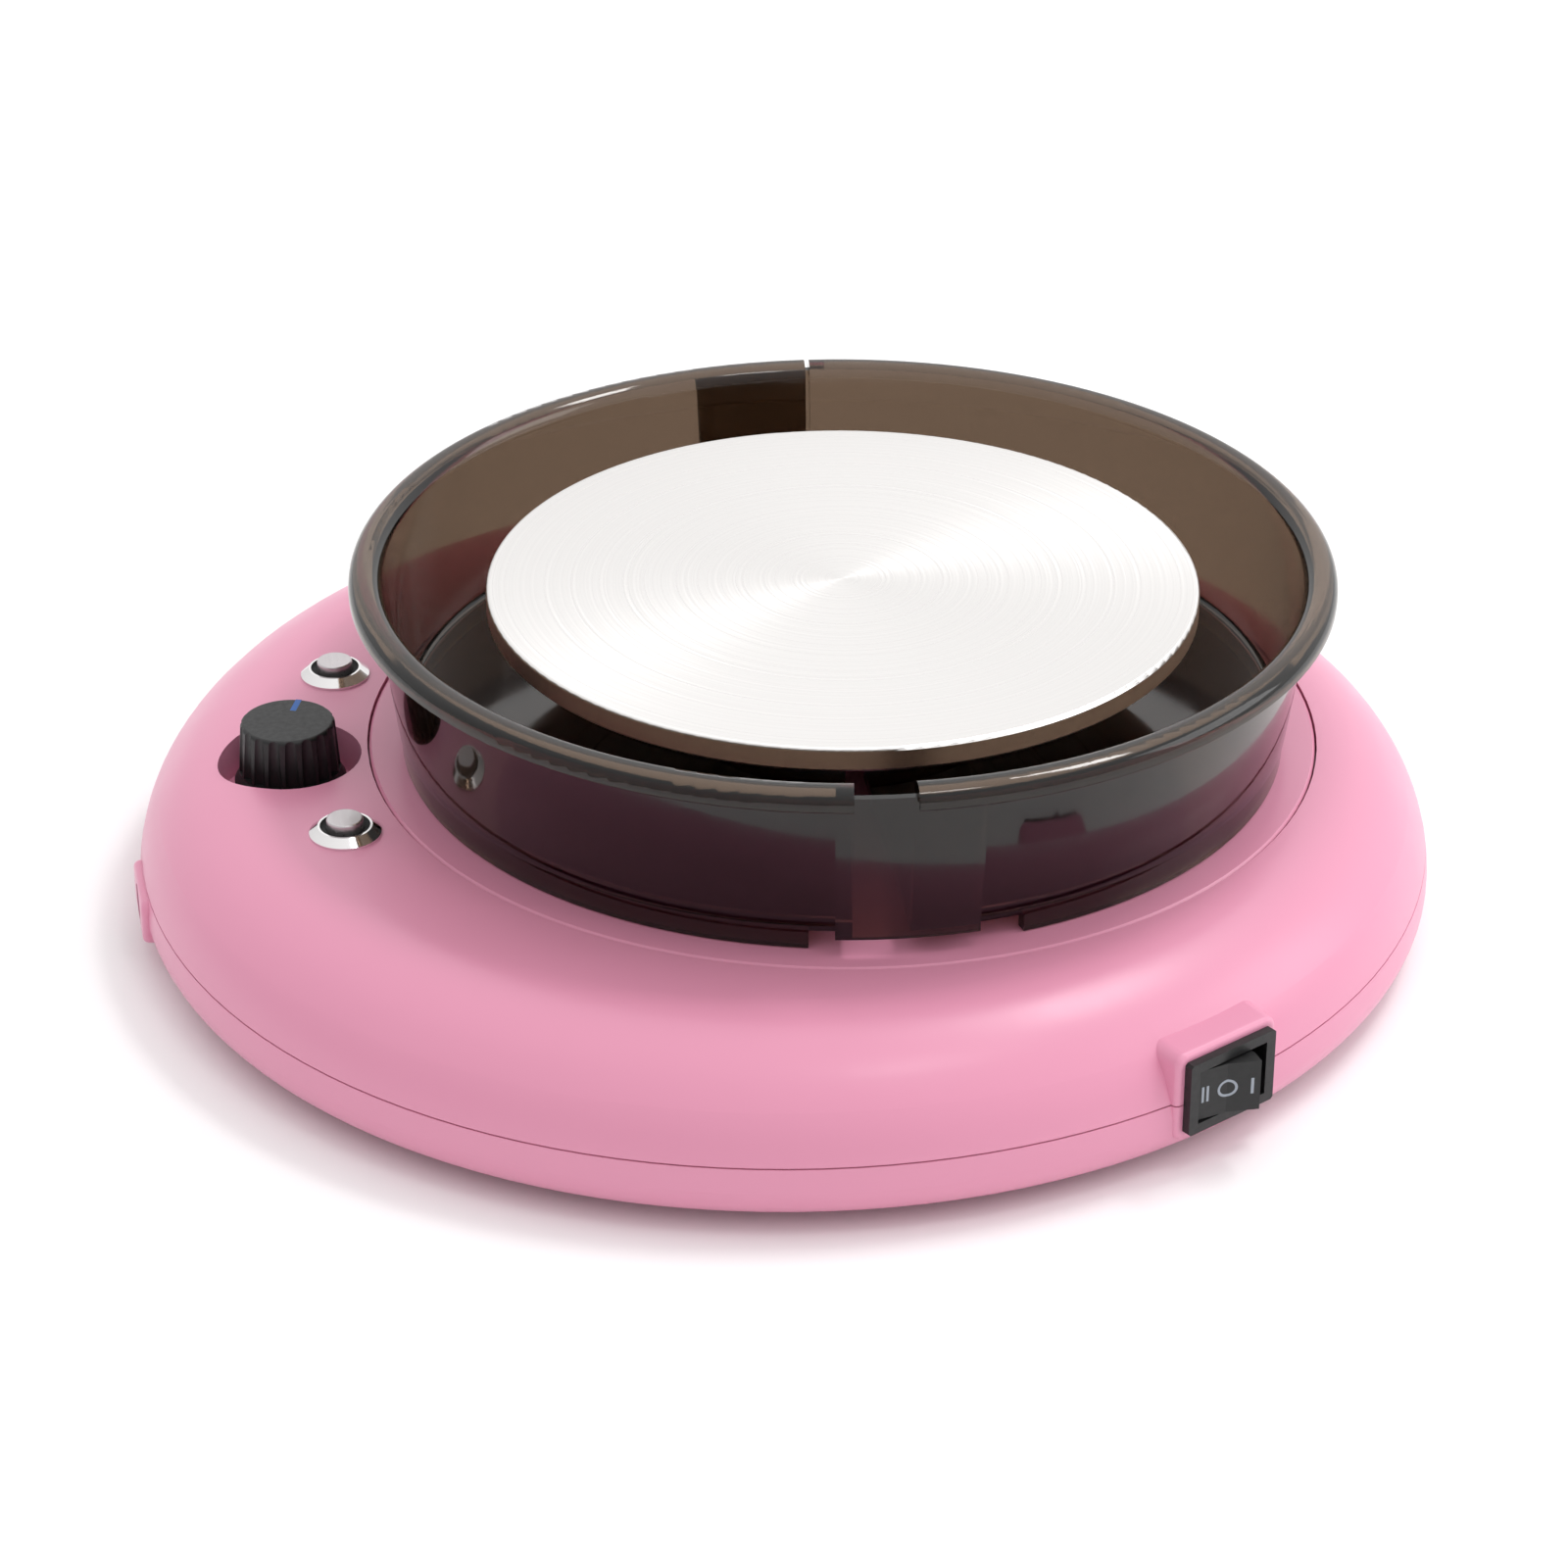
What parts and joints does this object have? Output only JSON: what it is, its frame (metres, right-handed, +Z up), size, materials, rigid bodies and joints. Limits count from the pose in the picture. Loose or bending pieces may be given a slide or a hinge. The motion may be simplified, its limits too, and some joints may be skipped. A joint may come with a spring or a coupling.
{
  "type": "pottery wheel",
  "caption": "Small tabletop electric pottery wheel: round glossy base with speed knob, push buttons and rocker switch, aluminium turntable, split smoked splash pan.",
  "frame": {"origin": "centre of the round base on the plane the rubber feet stand on", "axes": "+Z up along the turntable axis; the controls are on the -X side, the turntable is set towards +X, and the rocker switch faces the -Y side"},
  "size_m": [0.2592, 0.258, 0.0723],
  "materials": {
    "pink_shell": "glossy moulded plastic",
    "smoked_plastic": "glossy see-through smoked plastic",
    "turned_aluminium": "face-turned",
    "cast_aluminium": "cast and machined",
    "rubber": "matt",
    "zinc_steel": "zinc plated",
    "bright_steel": "ground",
    "chrome": "polished plating",
    "satin_steel": "satin",
    "black_plastic": "fine moulded grain",
    "blue_mark": "printed",
    "white_plastic": "moulded nylon",
    "brass": "plated",
    "board_green": "solder resist",
    "ferrite": "sintered",
    "capacitor_sleeve": "shrink sleeve"
  },
  "bodies": {
    "base": {"bearing_housing": "cast_aluminium", "bearing_outer_races": "bright_steel", "board_capacitor": "capacitor_sleeve", "board_chip": "black_plastic", "board_connectors": "white_plastic", "board_screws": "zinc_steel", "board_transistor": "black_plastic", "button_a_bezel": "chrome", "button_a_spring": "bright_steel", "button_b_bezel": "chrome", "button_b_spring": "bright_steel", "button_bases": "black_plastic", "button_nuts": "chrome", "button_seals": "rubber", "button_terminals": "brass", "case_screws": "zinc_steel", "centre_deck": "pink_shell", "chassis_plate": "zinc_steel", "chassis_screws": "zinc_steel", "control_board": "board_green", "dc_socket": "black_plastic", "dc_socket_nut": "chrome", "dc_socket_pin": "brass", "dc_socket_terminals": "brass", "deck_screws": "zinc_steel", "drive_belt": "rubber", "housing_screws": "zinc_steel", "lower_shell": "pink_shell", "motor_can": "zinc_steel", "motor_end_cap": "black_plastic", "motor_magnets": "ferrite", "motor_screws": "zinc_steel", "motor_terminals": "brass", "pot_nut": "zinc_steel", "pot_terminals": "brass", "pot_washer": "zinc_steel", "potentiometer": "zinc_steel", "rocker_frame": "black_plastic", "rocker_terminals": "brass", "rubber_feet": "rubber", "upper_shell": "pink_shell"},
    "turntable_assembly": {"turntable": "turned_aluminium", "turntable_hub": "cast_aluminium", "hub_screws": "zinc_steel", "hub_grub_screw": "zinc_steel", "spindle": "bright_steel", "spindle_pulley": "black_plastic", "bearing_inner_races": "bright_steel"},
    "ball_sets": {"bearing_balls": "bright_steel"},
    "motor_rotor_assembly": {"motor_rotor": "ferrite", "motor_shaft": "bright_steel", "motor_pulley": "black_plastic"},
    "speed_knob_assembly": {"speed_knob": "black_plastic", "knob_pointer": "blue_mark", "pot_shaft": "brass"},
    "button_a": {"button_a_cap": "satin_steel"},
    "button_b": {"button_b_cap": "satin_steel"},
    "rocker": {"rocker": "black_plastic"},
    "pan_left": {"splash_pan_left": "smoked_plastic"},
    "pan_right": {"splash_pan_right": "smoked_plastic"}
  },
  "joints": [
    {"name": "turntable_spin", "type": "hinge", "parent": "base", "child": "turntable_assembly", "pos_m": [0.0117, 0, 0.067], "axis": [0, 0, 1], "continuous": true},
    {"name": "ball_set_spin", "type": "hinge", "parent": "base", "child": "ball_sets", "pos_m": [0.0117, 0, 0.03], "axis": [0, 0, 1], "continuous": true},
    {"name": "motor_spin", "type": "hinge", "parent": "base", "child": "motor_rotor_assembly", "pos_m": [0.0117, 0.062, 0.012], "axis": [0, 0, 1], "continuous": true},
    {"name": "speed_knob_turn", "type": "hinge", "parent": "base", "child": "speed_knob_assembly", "pos_m": [-0.09814, 0.00343, 0.0423], "axis": [0, 0, 1], "range_deg": [-222, 78]},
    {"name": "button_a_press", "type": "slide", "parent": "base", "child": "button_a", "axis": [0, 0, -1], "range_m": [0, 0.0012], "stiffness_N_per_m": 900, "springref_m": -0.0016, "deforming": ["button_a_spring"]},
    {"name": "button_b_press", "type": "slide", "parent": "base", "child": "button_b", "axis": [0, 0, -1], "range_m": [0, 0.0012], "stiffness_N_per_m": 900, "springref_m": -0.0016, "deforming": ["button_b_spring"]},
    {"name": "rocker_tilt", "type": "hinge", "parent": "base", "child": "rocker", "pos_m": [0.0631, -0.10929, 0.0164], "axis": [0, 0, 1], "range_deg": [0, 40]},
    {"name": "pan_lift", "type": "slide", "parent": "base", "child": "pan_left", "axis": [0, 0, 1], "range_m": [0, 0.015]},
    {"name": "pan_part", "type": "slide", "parent": "pan_left", "child": "pan_right", "axis": [0.9985, 0.0541, 0], "range_m": [0, 0.09]}
  ],
  "couplings": [
    {"joint": "motor_spin", "follows": "turntable_spin", "ratio": 5.6402},
    {"joint": "ball_set_spin", "follows": "turntable_spin", "ratio": 0.3907}
  ]
}
